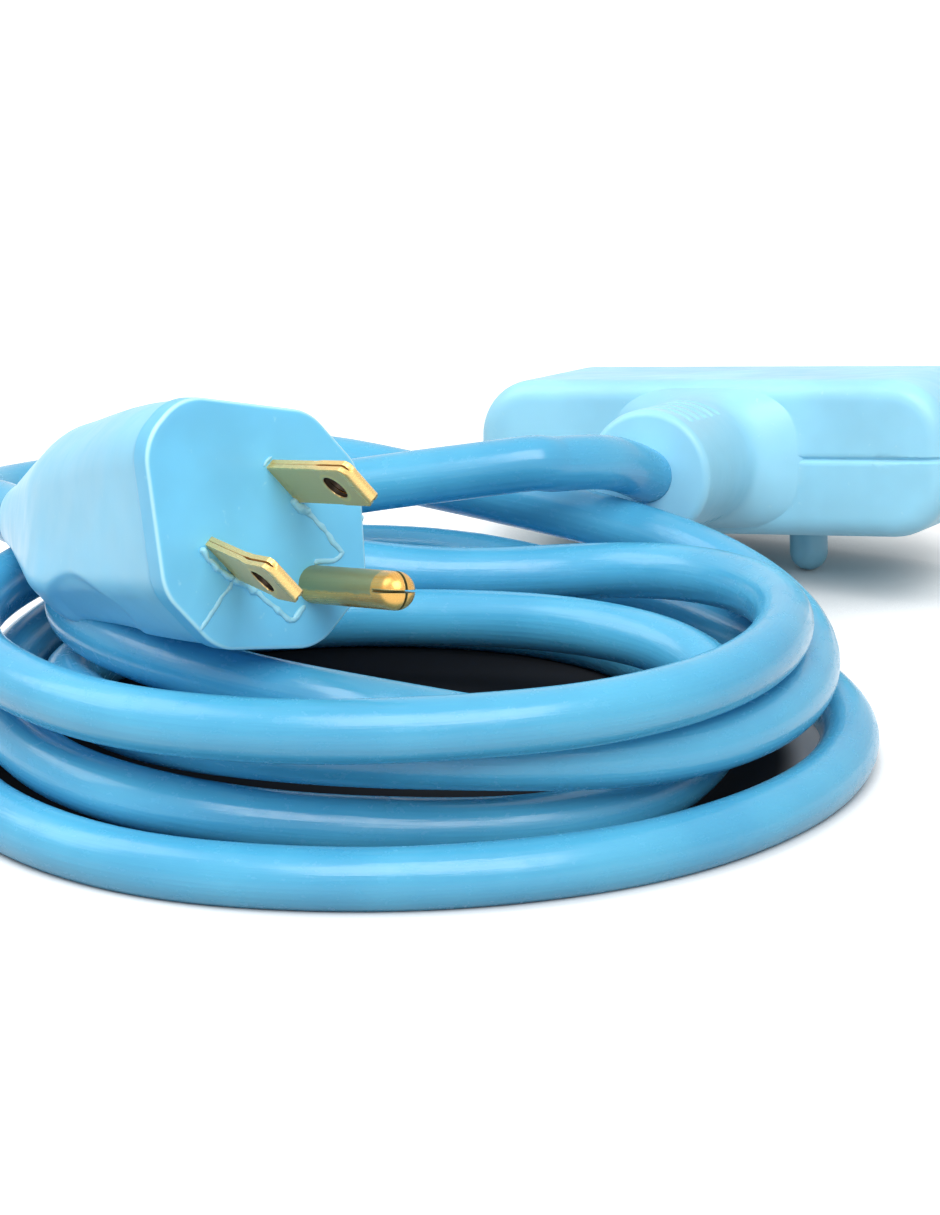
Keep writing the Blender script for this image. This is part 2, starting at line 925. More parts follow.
@dataclass
class Cord:
    """The round cord: a stretch from the plug, the coil and a stretch to the block, in one jacket.

    Attributes:
        diameter: Outer diameter of the jacket, in millimetres.
        inside: Length that runs on into the block.
        stripped: Length that runs on into the plug, up to the stripped cores.
        sides: Points in a ring.
        step: Distance between rings.
        lay: Length in which the twisted cores go round once.
        swell: Height of the cores' faint lobes in the jacket.
        turns: Radius and height of the cord's centre at eight stations per turn, clockwise from -X.
        stations: Number of stations in a turn.
        first_station: Station where the first turn starts.
        coil_steps: Points between two stations.
        rough_steps: Points between two stations where only the coil's ends are looked for.
        lead_run: Length over which the first lead comes down onto the coil's line.
        plug_points: Steering points of the lead from the plug.
        block_points: Steering points of the lead to the block.
    """

    diameter: float = 8.0
    inside: float = 3.0
    stripped: float = 12.0
    sides: int = 28
    step: float = 1.3
    lay: float = 95.0
    swell: float = 0.035
    stations: int = 8
    first_station: int = 2
    coil_steps: int = 24
    rough_steps: int = 3
    lead_run: float = 14.0
    turns: tuple[tuple[tuple[float, float], ...], ...] = (
        ((51, 21.8), (56, 15.9), (50.5, 11.5), (45, 12), (38.6, 15.3), (46.2, 14.6)),
        ((50, 12), (37, 9.8), (21, 11.8), (25, 12.5), (39.5, 12.4), (40, 3.4), (35, 3.4), (54.6, 9)),
        (
            (59, 9.2), (54.5, 14), (49.5, 13.8), (50.5, 6.5),
            (57.5, 3), (50.5, 3.2), (49.6, 3.2), (61.5, 3.2),
        ),
        (
            (66, 3.2), (55, 3.2), (46, 3.2), (43.5, 3.2),
            (31, 2.5), (28.7, 9.2), (30, 17), (36.4, 20.4),
        ),
        (
            (51, 21.9), (41.5, 20.2), (29.3, 13.4), (43.5, 17),
            (46.5, 20.9), (47, 20.9), (45.6, 21), (55.5, 19.3),
        ),
        ((64, 19.6), (51, 22.3), (33.5, 28.5)),
    )
    plug_points: tuple[tuple[float, float, float], ...] = (
        (-60.5, 22, 28.4),
        (-69, 38, 24),
        (-64, 57, 20.5),
        (-42, 66.5, 21.5),
    )
    block_points: tuple[tuple[float, float, float], ...] = (
        (15, 37.5, 29.8),
        (22.5, 41.3, 29.5),
        (27.2, 47, 27.4),
    )

    def coil(self, steps: int) -> np.ndarray:
        """Curve through the stations.

        The steering points are set outwards, because the spline cuts inside them. The radius is multiplied
        by 3 and divided by 2 plus the cosine of the angle between two stations.

        Args:
            steps: Points between two stations.

        Returns:
            Points of the curve, in layout millimetres.
        """
        sector = 2 * math.pi / self.stations
        keys = np.array([key for stations in self.turns for key in stations], float)
        azimuth = math.pi - sector * (np.arange(len(keys)) + self.first_station)
        radius, height = keys[:, 0] * (3 / (2 + math.cos(sector))), keys[:, 1]
        return spline(np.stack([radius * np.cos(azimuth), radius * np.sin(azimuth), height], 1), steps)

    def route(self, plug_end: np.ndarray, along: np.ndarray, neck_end: np.ndarray) -> np.ndarray:
        """Centre line from the plug's back end to the neck's end, in layout millimetres.

        Args:
            plug_end: Where the cord leaves the plug.
            along: The cord's direction there.
            neck_end: Where it goes into the block's neck.

        Returns:
            Evenly spaced points.
        """
        rough = self.coil(self.rough_steps)
        first, last = unit(rough[1] - rough[0]), unit(rough[-1] - rough[-2])
        start, end = rough[0] - self.diameter * first, rough[-1] + self.diameter * last
        out_of = [plug_end, plug_end + self.diameter / 2 * along]
        into = np.vstack([*out_of, self.plug_points, start - self.lead_run * first, start])
        out = np.vstack([end, end + self.diameter * last, self.block_points, neck_end])
        parts = [spline(into, self.coil_steps), self.coil(self.coil_steps), spline(out, self.coil_steps)]
        return spaced(np.vstack(parts), self.step)

    def build(self, paint: Paint) -> None:
        """The radius swells by three lobes: the cosine of three times the angle, which lags behind by a full
        turn for each lay of length. Points below the floor are raised to it.

        Args:
            paint: Where it gets its finish.
        """
        back, along = Plug().tail_end()
        neck = BLOCK_FRAME.origin
        line = self.route(back, along, neck)
        ends = [back - along * self.stripped, neck + BLOCK_FRAME.axes[:, 1] * self.inside]
        path = np.vstack([ends[0], line, ends[1]])
        reach = distances(path)
        angle = circle(self.sides)
        lobes = self.swell * np.cos(3 * (angle[None] - 2 * math.pi * reach[:, None] / self.lay))
        rings = tube(path, self.diameter / 2 - self.swell + lobes, self.sides)
        rings[..., 2] = np.maximum(rings[..., 2], 0.0)
        piece = Skin(rings).piece("flexible_cord", COIL_FRAME, 60.0)
        self._unwrap(piece.data, path, reach)
        tuple(COIL_FRAME.place(back))
        COIL_FRAME.place(spaced(path, 4.0)).tolist()
        replaced = ["cord_lead_plug", "cord_coil", "cord_lead_outlet", "plug_jacket_end"]
        paint.hand_over(piece, Finish.CORD, replaced)

    def _unwrap(self, mesh: bpy.types.Mesh, path: np.ndarray, reach: np.ndarray) -> None:
        """Adds the UV map: millimetres along the jacket, and the height of the point round it.

        Args:
            mesh: The jacket's mesh.
            path: Its centre line.
            reach: Distance along the centre line at each of its points.
        """
        count = len(mesh.vertices)
        flat = np.empty(count * 3, np.float32)
        mesh.attributes["local"].data.foreach_get("vector", flat)
        ring = np.clip((np.arange(count) - 1) // self.sides, 0, len(path) - 1)
        along = unit(np.gradient(path, axis=0))[ring]
        off = flat.reshape(-1, 3) - path[ring]
        side = unit(np.cross(along, (0, 0, 1)))
        over = np.cross(side, along)
        angle = np.arctan2(np.einsum("ij,ij->i", off, over), np.einsum("ij,ij->i", off, side))
        round_it = np.abs(angle) * self.diameter / 2
        loops = np.empty(len(mesh.loops), np.int32)
        mesh.loops.foreach_get("vertex_index", loops)
        uv = np.stack([reach[ring], round_it], 1)[loops]
        mesh.uv_layers.new(name="run").data.foreach_set("uv", uv.astype(np.float32).ravel())


# ---- Plug --------------------------------------------------------------------------------------


@dataclass(frozen=True)
class Ridge:
    """A low bead of torn vinyl on the plug's face: half round, with a ragged width and height.

    Attributes:
        points: The line that it follows on the face.
        wide: Its width.
        high: Its height.
        foot: Height of its foot over the face.
        sides: Points in a ring.
        every: Rings between two steps of the raggedness.
    """

    points: tuple[tuple[float, float], ...]
    wide: float
    high: float
    foot: float = 0.0
    sides: int = 14
    every: int = 7

    def piece(self, name: str, rng: np.random.Generator) -> Piece:
        """Makes the ridge.

        Each ring is half the width times the cosine, and the height times the sine, cut off a little
        below the line. Both are scaled by noise that is drawn every few rings and fades at the ends.

        Args:
            name: The piece's name.
            rng: Source of the raggedness.

        Returns:
            The ridge.
        """
        line = spaced(spaced(np.array(self.points, float), 0.8), 0.12)
        line = np.column_stack([line, np.full(len(line), self.foot)])
        count = np.arange(len(line))
        along = unit(np.gradient(line, axis=0))
        side = np.stack([-along[:, 1], along[:, 0], np.zeros(len(line))], 1)
        knots = np.arange(0, len(line) + 2 * self.every, self.every)
        coarse = np.interp(count, knots, rng.uniform(0.6, 1.15, len(knots)))
        fade = np.minimum(1, np.minimum(count, count[::-1]) / 3 + 0.25)
        line = line + side * np.interp(count, knots, rng.normal(0, 0.07, len(knots)))[:, None]
        angle = circle(self.sides)
        reach = (coarse * fade)[:, None]
        x = reach * self.wide / 2 * np.cos(angle)[None]
        z = reach * self.high * np.maximum(np.sin(angle), -0.35)[None]
        rings = line[:, None] + side[:, None] * x[..., None] + z[..., None] * np.array([0, 0, 1.0])
        return Skin(capped(rings, line)).piece(name, PLUG_FRAME, 60.0)


# Raised seams, torn bits at the blades' roots and nibs on the edge
RIDGES = {
    "seam_line_side": Ridge(((-5.9, 3.6), (-5.9, 7.8), (-5.6, 12.3), (-4.2, 12.3), (-1.9, 9.9)), 0.8, 0.26),
    "seam_edge": Ridge(((7.6, 2.8), (11.5, 3.1), (15.1, 3.4)), 0.6, 0.2),
    "seam_neutral_side": Ridge(((6.7, 4.2), (6.3, 7.0), (5.6, 12.6), (2.8, 12.7)), 0.85, 0.3),
    "tear_line_root": Ridge(((-5.6, 2.2), (-5.3, 3.4), (-5.6, 4.6), (-6.2, 5.2)), 1.3, 0.8),
    "tear_line_top": Ridge(((-5.45, -3.6), (-6.3, -3.7), (-7.2, -3.5)), 0.4, 0.3),
    "tear_neutral_root": Ridge(((7.7, -3.4), (8.0, -1.6), (7.9, 0.6), (7.5, 2.6)), 0.9, 0.6),
    "tear_neutral_end": Ridge(((7.5, 2.4), (6.9, 3.7), (6.4, 5.0), (6.5, 6.2)), 1.1, 0.6),
    "nib_right": Ridge(((-11.1, 11.2), (-10.4, 12.0)), 0.9, 0.5, -0.5),
    "nib_low": Ridge(((-9.2, 13.3), (-8.5, 14.1)), 0.8, 0.45, -0.5),
}


@dataclass
class Plug:
    """The moulded plug: body, blades, ground pin and torn flash. Z runs out of its face.

    Attributes:
        length: Length of the body behind the face.
        width: Width of the face across both blades.
        height: Height of the face from the blade side to the pin side.
        wide_length: Length of the wide part of the body.
        waist: Width and height of the wide part at its back, as shares of the face.
        taper: Start and end of the straight taper to the cord, and how far its ends are rounded.
        droop: How far the soft back end hangs off the axis at its end, across and along the height.
        droop_from: Distance behind the face where it starts to hang.
        tail: Diameter where the cord leaves the body.
        rim: Depth of the rim behind the face.
        step: Height of the rim over the body behind it.
        corner: Corner radius of the outline.
        edge: Radius of the face's edge.
        scoop_at: Middle of the rest in each side, behind the face and along the height.
        scoop_size: Half its length and half its height.
        scoop_depth: Its depth.
        pitch: Distance between the blades.
        root: How far the blades and the pin run into the body.
        blade_length: Length of a blade in front of the face.
        blade_wide: Its width.
        blade_corner: How much narrower each side of its tip is.
        leaf: Thickness of one of its two leaves.
        leaf_gap: Half the gap between them at the root.
        leaf_spread: How much more each leaf stands off from the hole to the tip.
        spread_over: Rise over which it spreads.
        fold: Height of the round fold at the tip.
        lean: Slope of the bent neutral blade up to its hole, and beyond it.
        pin_offset: Distance of the pin from the line through the blades.
        pin_radius: Radius of the pin.
        pin_length: Length of the pin in front of the face.
        pin_bright: Rise over which the film on the pin ends.
        low_side: Direction of the pin's underside, across and along the height.
        slit_wide: Width of the saw cuts in the pin's tip.
        slit_deep: Their depth.
        slit_turn: Angle of the first one round the pin.
    """

    length: float = 58.0
    width: float = 30.4
    height: float = 36.0
    wide_length: float = 36.0
    waist: tuple[float, float] = (0.99, 0.68)
    taper: tuple[float, float, float] = (36.2, 58.2, 4.0)
    droop: tuple[float, float] = (0.7, 1.35)
    droop_from: float = 20.0
    tail: float = 9.2
    rim: float = 3.2
    step: float = 0.35
    corner: float = 6.6
    edge: float = 0.55
    scoop_at: tuple[float, float] = (24.5, 2.2)
    scoop_size: tuple[float, float] = (9.5, 6.6)
    scoop_depth: float = 0.75
    pitch: float = BLADE_PITCH
    root: float = 3.0
    blade_length: float = 17.3
    blade_wide: float = 6.35
    blade_corner: float = 1.0
    leaf: float = 0.7
    leaf_gap: float = 0.012
    leaf_spread: float = 0.11
    spread_over: tuple[float, float] = (9.6, 11.4)
    fold: float = 1.1
    lean: tuple[float, float] = (0.2, 0.075)
    pin_offset: float = PIN_OFFSET
    pin_radius: float = 2.375
    pin_length: float = 20.0
    pin_bright: tuple[float, float] = (15.4, 16.0)
    low_side: tuple[float, float] = (0.77, 0.64)
    slit_wide: float = 0.34
    slit_deep: float = 3.8
    slit_turn: float = 43.0

    def outline(self) -> np.ndarray:
        """Face outline: eight corners, narrow at the blade side and at the pin side.

        Returns:
            Points of the closed outline.
        """
        side, top = self.width / 2, self.height / 2
        right = np.array([[3.8, -top], [side, -3.2], [side, 7.0], [5.2, top]])
        return rounded_polygon(np.vstack([right, right[::-1] * [-1, 1]]), self.corner, 20, 0.42)

    def sections(self, s: np.ndarray, outline: np.ndarray) -> np.ndarray:
        """Outlines of the body this far behind the face: drawn in along the grip, then round at the cord.

        Args:
            s: Distances behind the face.
            outline: The face outline.

        Returns:
            Array of sections by points by 3.
        """
        side = self.width / 2
        drawn = 1 - self.step / side
        narrow = ramp(s, self.rim, self.wide_length * 1.15)[:, None]
        share = drawn + (np.array(self.waist) - drawn) * narrow
        share = 1 + (share - 1) * ramp(s, self.rim - 0.1, self.rim + 0.5)[:, None]
        round_off = self._tapered(s)[:, None, None]
        wide = outline[None] * share[:, None]
        thin = np.broadcast_to(unit(outline)[None] * self.tail / 2, wide.shape)
        flat = wide * (1 - round_off) + thin * round_off + self.hang(s)[:, None]
        return np.concatenate([flat, np.broadcast_to(-s[:, None, None], (*flat.shape[:2], 1))], axis=2)

    def _tapered(self, s: np.ndarray) -> np.ndarray:
        """Share of the taper done: a straight rise with parabolas at its ends.

        Args:
            s: Distances behind the face.

        Returns:
            The shares, from 0 to 1.
        """
        low, high, soft = self.taper
        reach = soft / (high - low)
        t = (s - low) / (high - low)
        start = np.where(t < reach, np.clip(t + reach, 0, None) ** 2 / (4 * reach), t)
        left = 1 - start
        return 1 - np.where(left < reach, np.clip(left + reach, 0, None) ** 2 / (4 * reach), left)

    def hang(self, s: np.ndarray) -> np.ndarray:
        """Sideways place of the body's middle line this far behind the face: it grows with the square."""
        reach = np.clip(s - self.droop_from, 0, None) / (self.length - self.droop_from)
        return reach[:, None] ** 2 * np.array(self.droop)

    def tail_end(self) -> tuple[np.ndarray, np.ndarray]:
        """Where the cord leaves the body.

        Returns:
            The point and the cord's direction there, in layout millimetres.
        """
        slope = 2 * np.array(self.droop) / (self.length - self.droop_from)
        at, along = np.array([*self.droop, -self.length]), unit(np.array([*slope, -1.0]))
        return PLUG_FRAME.origin + PLUG_FRAME.axes @ at, PLUG_FRAME.axes @ along

    def body(self) -> Skin:
        """Skin of the body, from the middle of the face over the rounded edge to the cord.

        Over a quarter circle, the edge is the section behind the face by its radius times (1 - cosine),
        moved inwards by its radius times (1 - sine).

        Returns:
            The skin, with a mark for its pale rim.
        """
        outline, edge = self.outline(), self.edge
        bend = quarter(7)
        behind = self.rim + 0.8
        s = np.concatenate([
            edge * (1 - np.cos(bend)),
            np.linspace(edge, behind, 16)[1:],
            np.linspace(behind, self.length, 130)[1:],
        ])
        inset = np.zeros(len(s))
        inset[: len(bend)] = edge * (1 - np.sin(bend))
        rings = self.sections(s, outline)
        rings[..., :2] -= unit(outline)[None] * inset[:, None, None]
        rings = self._scooped(rings)
        face = np.linspace(0, 1, 24)[:-1, None, None] * rings[:1]
        face[..., 2] = 0.0
        middle = rings[-1:].mean(axis=1, keepdims=True)
        end = middle + np.array([0.97, 0.6, 0.0])[:, None, None] * (rings[-1:] - middle) - [0, 0, 0.02]
        skin = np.concatenate([face, rings, end])
        reach = np.linalg.norm(skin[..., :2], axis=2) / np.linalg.norm(outline, axis=1)[None]
        depth = -skin[..., 2]
        edge_glow = ramp(reach, 0.965, 0.995) * (1 - ramp(depth, 0.15, 0.6))
        pale = edge_glow + 0.35 * ramp(depth, self.rim, self.rim + 1)
        return Skin(skin, {"rim": np.clip(pale, 0, 1)})

    def _scooped(self, rings: np.ndarray) -> np.ndarray:
        """Presses an oval finger rest into both sides: depth times a smooth bowl with a clear border.

        Args:
            rings: Rings of the body, which are changed.

        Returns:
            The same rings.
        """
        across, along = rings[..., 1] - self.scoop_at[1], -rings[..., 2] - self.scoop_at[0]
        away = np.sqrt((along / self.scoop_size[0]) ** 2 + (across / self.scoop_size[1]) ** 2)
        bowl = (1 - 0.4 * np.clip(away, 0, 1) ** 2) * (1 - ramp(away, 0.75, 1.0))
        side = rings[..., 0]
        rings[..., 0] -= np.sign(side) * self.scoop_depth * bowl * ramp(np.abs(side), 4.0, 7.0)
        return rings

    def blade(self, x: float, lean: tuple[float, float]) -> Piece:
        """One blade: a strip folded at its tip, with a hole through both leaves.

        The middle line of the strip runs up one leaf, round the fold and down the other. A rounded
        rectangle is carried along it, which narrows at the tip.

        Args:
            x: The blade's place across the plug.
            lean: Slope of the blade up to its hole, and beyond it.

        Returns:
            The blade.
        """
        length, leaf, side = self.blade_length, self.leaf, self.blade_wide / 2
        rise = np.linspace(-self.root, length - self.fold, 90)
        half = leaf / 2 + self.leaf_gap + self.leaf_spread * ramp(rise, *self.spread_over)
        bend = np.linspace(0, math.pi, 22)[1:-1]
        tip = rise[-1] + (length - leaf / 2 - rise[-1]) * np.sin(bend)
        leaves = [np.stack([half, rise], 1), np.stack([-half, rise], 1)[::-1]]
        middle = np.vstack([leaves[0], np.stack([half[-1] * np.cos(bend), tip], 1), leaves[1]])
        along = unit(np.gradient(middle, axis=0))
        out = np.stack([along[:, 1], -along[:, 0]], 1)
        box = box_outline(self.blade_wide, leaf, 0.09, 5, 0.16)
        narrow = side - self.blade_corner * ramp(middle[:, 1], length - 1.5, length - 0.1)
        across = box[None, :, 0] / side * narrow[:, None]
        flat = middle[:, None] + box[None, :, 1, None] * out[:, None]
        rings = np.stack([flat[..., 0], across, flat[..., 1]], 2)
        rings = capped(rings, rings.mean(axis=1))
        edge = np.abs(rings[..., 1]) / side
        worn = np.maximum(ramp(edge, 0.86, 1.0), ramp(rings[..., 2], length - 2.6, length - 0.6))
        piece = Skin(rings, {"worn": worn}).piece("strip", RAW, 40.0)
        piece = combined(piece, self._hole(), Join.CUT)
        return self._bent(softened(piece, 0.07, 50.0), x, lean)

    def _hole(self) -> Piece:
        """Cutter for a blade's hole.

        Returns:
            A rod across the blade, wider at both mouths.
        """
        x = np.array([-2.0, -0.98, -0.80, 0.80, 0.98, 2.0])
        radius = np.array([2.35, 2.08, 1.8, 1.8, 2.08, 2.35])
        path = np.stack([x, np.zeros(len(x)), np.full(len(x), HOLE_AT)], 1)
        return Skin(tube(path, radius, 48)).piece("punch", RAW)

    def _bent(self, piece: Piece, x: float, lean: tuple[float, float]) -> Piece:
        """Leans a blade and places it. Its local attribute keeps the straight blade.

        Args:
            piece: The straight blade.
            x: Its place across the plug.
            lean: Its slope up to its hole, and beyond it.

        Returns:
            The same piece.
        """
        local = raw_points(piece)
        piece.data.attributes["local"].data.foreach_set("vector", local.astype(np.float32).ravel())
        z = local[:, 2].copy()
        local[:, 0] += x + lean[0] * np.clip(z, 0, HOLE_AT) + lean[1] * np.clip(z - HOLE_AT, 0, None)
        return placed(piece, PLUG_FRAME, local, 40.0)

    def pin(self) -> Piece:
        """Ground pin: a rolled tube with a domed, cross-slit tip.

        Its radius follows the rise: constant along the shank, then a quarter circle at the tip.

        Returns:
            The pin.
        """
        radius, length = self.pin_radius, self.pin_length
        bend = quarter(16)
        shank = np.linspace(-self.root, length - radius, 60)
        rise = np.concatenate([shank, length - radius + radius * np.sin(bend)[1:-1]])
        wide = np.concatenate([np.full(len(shank), radius), radius * np.cos(bend)[1:-1]])
        path = np.stack([np.zeros(len(rise)), np.zeros(len(rise)), rise], 1)
        rings = tube(path, wide, 64, (0, 1, 0))
        rings[-1, :, 2] = length
        worn = np.maximum(ramp(rings[..., 2], *self.pin_bright), 0.9 * self._below(rings))
        piece = Skin(rings, {"worn": worn}).piece("rolled_pin", RAW, 40.0)
        box = box_outline(self.slit_wide, 8.0, 0.05, 3, 0.3)
        low, high = length - self.slit_deep, length + 1.0
        levels = ((0.0, low), (1.0, low), (1.0, high), (0.0, high))
        saw = np.stack([np.column_stack([box * grow, np.full(len(box), z)]) for grow, z in levels])
        for angle in (self.slit_turn, self.slit_turn + 90):
            c, s = math.cos(math.radians(angle)), math.sin(math.radians(angle))
            plane = np.array([[-s, c, 0], [c, s, 0], [0, 0, 1]]).T
            piece = combined(piece, Skin(saw @ plane.T).piece("saw", RAW), Join.CUT)
        piece = softened(piece, 0.12, 55.0)
        return placed(piece, PLUG_FRAME, raw_points(piece) + [0, self.pin_offset, 0], 40.0)

    def _below(self, rings: np.ndarray) -> np.ndarray:
        """How far round a point of the pin is towards its underside, from 0 to 1."""
        down = rings[..., 0] * self.low_side[0] + rings[..., 1] * self.low_side[1]
        return ramp(down, 0.1, 1.1)

    def build(self, paint: Paint) -> None:
        """Makes and dresses the plug's pieces.

        Args:
            paint: Where they get their finishes.
        """
        paint.hand_over(self.body().piece("plug_body", PLUG_FRAME, 40.0), Finish.PLUG, ["plug_grip"])
        for name, x, lean in (("line", -self.pitch / 2, (0.0, 0.0)), ("neutral", self.pitch / 2, self.lean)):
            blade = self.blade(x, lean)
            blade.name = f"{name}_folded_blade"
            paint.hand_over(blade, Finish.BLADE, [f"{name}_blade"])
        paint.hand_over(self.pin(), Finish.PIN, ["ground_pin"])
        rng = np.random.default_rng(7)
        for name, ridge in RIDGES.items():
            paint.hand_over(ridge.piece(name, rng), Finish.FLASH)


# ---- Outlet block ------------------------------------------------------------------------------


def at_depth(outline: np.ndarray, y: float) -> np.ndarray:
    """An outline in X and Z as points in space, all at one Y."""
    return np.stack([outline[:, 0], np.full(len(outline), y), outline[:, 1]], 1)


@dataclass
class Block:
    """The outlet block. Y runs along its ribbed neck, from the neck's end into the block.

    Attributes:
        width: Width across the three outlets.
        depth: Depth along the neck.
        thick: Thickness.
        corner: Corner radius of the front outline.
        edge: Radius of the long edges.
        neck: Length of the neck.
        neck_d: Diameter of the neck.
        neck_edge: Radius of the edge at the neck's end.
        mouth: Radius where the cord goes into the neck's end.
        flare: Length over which the neck widens into the block.
        flare_w: Width of the neck where it meets the block.
        flare_power: Power that makes its outline there squarish; 1 is round.
        groove_d: Depth of the parting groove.
        groove_w: Its width.
        rib_count: Number of ribs.
        rib_pitch: Distance from one rib to the next.
        rib_start: Distance of the first groove from the neck's end.
        rib_high: Height of a rib over its groove.
        rib_angle: Angle that a rib spans round the neck.
        foot_d: Diameter of the round foot.
        foot_at: Its place in X and Y.
        foot_low: Height where its straight side ends.
        pitch: Distance between two outlets.
        slot_z: Height of the blade slots.
        blade_pitch: Distance between an outlet's two slots.
        slot_wide: Width of a slot.
        slot_high: Height of each outlet's two slots, in the order of X.
        slot_corner: Corner radius of a slot.
        pin_offset: Distance of the ground hole below the slots.
        hole_size: Width of the ground hole.
        hole_corner: Its corner radius, which makes it round.
    """

    width: float = 77.0
    depth: float = 31.0
    thick: float = 24.0
    corner: float = 9.0
    edge: float = 3.0
    neck: float = 24.0
    neck_d: float = 19.5
    neck_edge: float = 1.2
    mouth: float = 4.2
    flare: float = 7.0
    flare_w: float = 34.0
    flare_power: float = 0.55
    groove_d: float = 0.5
    groove_w: float = 0.9
    rib_count: int = 4
    rib_pitch: float = 2.8
    rib_start: float = 3.2
    rib_high: float = 0.9
    rib_angle: float = 76.0
    foot_d: float = 6.0
    foot_at: tuple[float, float] = (10.4, 42.0)
    foot_low: float = -16.47
    pitch: float = 25.0
    slot_z: float = 5.8375
    blade_pitch: float = BLADE_PITCH
    slot_wide: float = 2.0
    slot_high: tuple[float, float] = (7.0, 8.1)
    slot_corner: float = 0.3
    pin_offset: float = PIN_OFFSET
    hole_size: float = 5.3
    hole_corner: float = 2.64

    def _outline(self, inset: float) -> np.ndarray:
        """Front outline moved inwards: four arcs about fixed centres, joined by straight sides.

        Args:
            inset: How far it is moved.

        Returns:
            Points of the closed outline, in X and Z, closer together in the middle of the short sides.
        """
        w, t = self.width / 2 - self.corner, self.thick / 2 - self.corner
        radius = max(self.corner - inset, 0.0)
        arcs = []
        for k, (sx, sz) in enumerate(((1, 1), (-1, 1), (-1, -1), (1, -1))):
            bend = quarter(12) + k * math.pi / 2
            arcs.append(np.stack([sx * w + radius * np.cos(bend), sz * t + radius * np.sin(bend)], 1))
        sides = []
        for k, (arc, count) in enumerate(zip(arcs, (40, 34, 40, 34))):
            share = np.linspace(0, 1, count + 2)[1:-1, None]
            if k % 2:
                share = 0.5 + 0.5 * np.sign(share - 0.5) * np.abs(2 * share - 1) ** 1.8
            sides += [arc, arc[-1] * (1 - share) + arcs[(k + 1) % 4][0] * share]
        return np.vstack(sides)

    def shell(self) -> Piece:
        """Body of the block: the front outline carried along Y, drawn in over rounded edges.

        Over a quarter circle, an edge is the outline moved inwards by its radius times (1 - sine), at its
        radius times (1 - cosine) from the end. The parting groove is a parabola of the height. Each end
        closes along a line through its middle.

        Returns:
            The closed body, in raw millimetres.
        """
        bend = quarter(8)
        turn_in = self.edge * (1 - np.sin(bend))
        rise = self.edge * (1 - np.cos(bend))
        front, back = self.neck, self.neck + self.depth
        inset = np.concatenate([turn_in, np.zeros(10), turn_in[::-1]])
        straight = np.linspace(front + self.edge, back - self.edge, 12)[1:-1]
        y = np.concatenate([front + rise, straight, (back - rise)[::-1]])
        rings = np.stack([at_depth(self._outline(i), v) for i, v in zip(inset, y)])
        spine = rings[0] * [1, 1, 0]
        reach = self.width / 2 - self.thick / 2
        spine[:, 0] = np.clip(spine[:, 0], -reach, reach)
        share = [0, 0.01, 0.02, 0.03, 0.045, 0.07, 0.12, 0.25, 0.4, 0.55, 0.7, 0.85, 0.95]
        f = np.array(share)[:, None, None]
        start = spine[None] * (1 - f) + rings[:1] * f
        stop = start.copy()
        stop[..., 1] = back
        rings = np.concatenate([start, rings, stop[::-1]])
        away = np.abs(rings[..., 2]) / (self.groove_w / 2)
        dip = self.groove_d * np.clip(1 - away**2, 0, 1) * (rings[..., 1] < back - self.edge - 1)
        on_front = rings[..., 1] < front + self.edge
        rings[..., 1] += np.where(on_front, dip, 0)
        rings[..., 0] -= np.where(~on_front, dip, 0) * np.sign(rings[..., 0])
        return Skin(rings).piece("outlet_block_skin", RAW, 35.0)

    def neck_skin(self) -> Piece:
        """Neck: rounded end, ribbed grip and a flare that widens into the block.

        The radius is the neck's, less a groove where both the angle and the distance lie in a band. The
        flare blends it into a squarish outline: each side's half size times a power of cosine or sine.

        Returns:
            The closed neck, in raw millimetres.
        """
        angle = circle(180)
        edge, bend = self.neck_edge, quarter(8)
        run = np.linspace(edge, self.neck + 2, 200)[1:]
        y = np.concatenate([[0.0] * 3, edge * (1 - np.cos(bend))[1:], run])
        trim = np.zeros(len(y))
        trim[:2] = [self.neck_d / 2, self.neck_d / 2 - self.mouth]
        trim[2:10] = edge * (1 - np.sin(bend))
        f = ramp(y, self.neck - self.flare, self.neck + 2)[:, None] ** 2
        c, s, power = np.cos(angle), np.sin(angle), self.flare_power
        wide_x = self.flare_w / 2 * np.sign(c) * np.abs(c) ** power
        wide_z = (self.thick / 2 - 1) * np.sign(s) * np.abs(s) ** power
        radius = self.neck_d / 2 - trim[:, None] - self._ribs(y, angle)
        x = radius * c * (1 - f) + wide_x * f
        z = radius * s * (1 - f) + wide_z * f
        rings = np.stack([x, np.broadcast_to(y[:, None], x.shape), z], 2)
        cap = rings[-1:] * [0, 1, 0]
        return Skin(np.concatenate([rings, cap])).piece("neck", RAW, 40.0)

    def _ribs(self, y: np.ndarray, angle: np.ndarray) -> np.ndarray:
        """Depth of the grooves between the ribs, above and below the neck.

        Along the neck it is half a sine wave in the first half of each pitch, flattened at its top. Round
        the neck it falls off at the ends of the ribs' angle.

        Args:
            y: Distances from the neck's end.
            angle: Angles round the neck.

        Returns:
            One depth per distance and angle.
        """
        phase = (y[:, None] - self.rib_start) / self.rib_pitch
        inside = (phase > -0.02) & (phase < self.rib_count + 0.52)
        wave = np.clip(1.25 * np.sin(math.pi * np.clip((phase % 1.0) / 0.5, 0, 1)), 0, 1) * inside
        off_top = np.abs(np.abs(np.degrees(np.arctan2(np.sin(angle), np.cos(angle)))) - 90)
        window = 1 - ramp(off_top, self.rib_angle / 2 - 4, self.rib_angle / 2)
        return self.rib_high * wave * window[None]

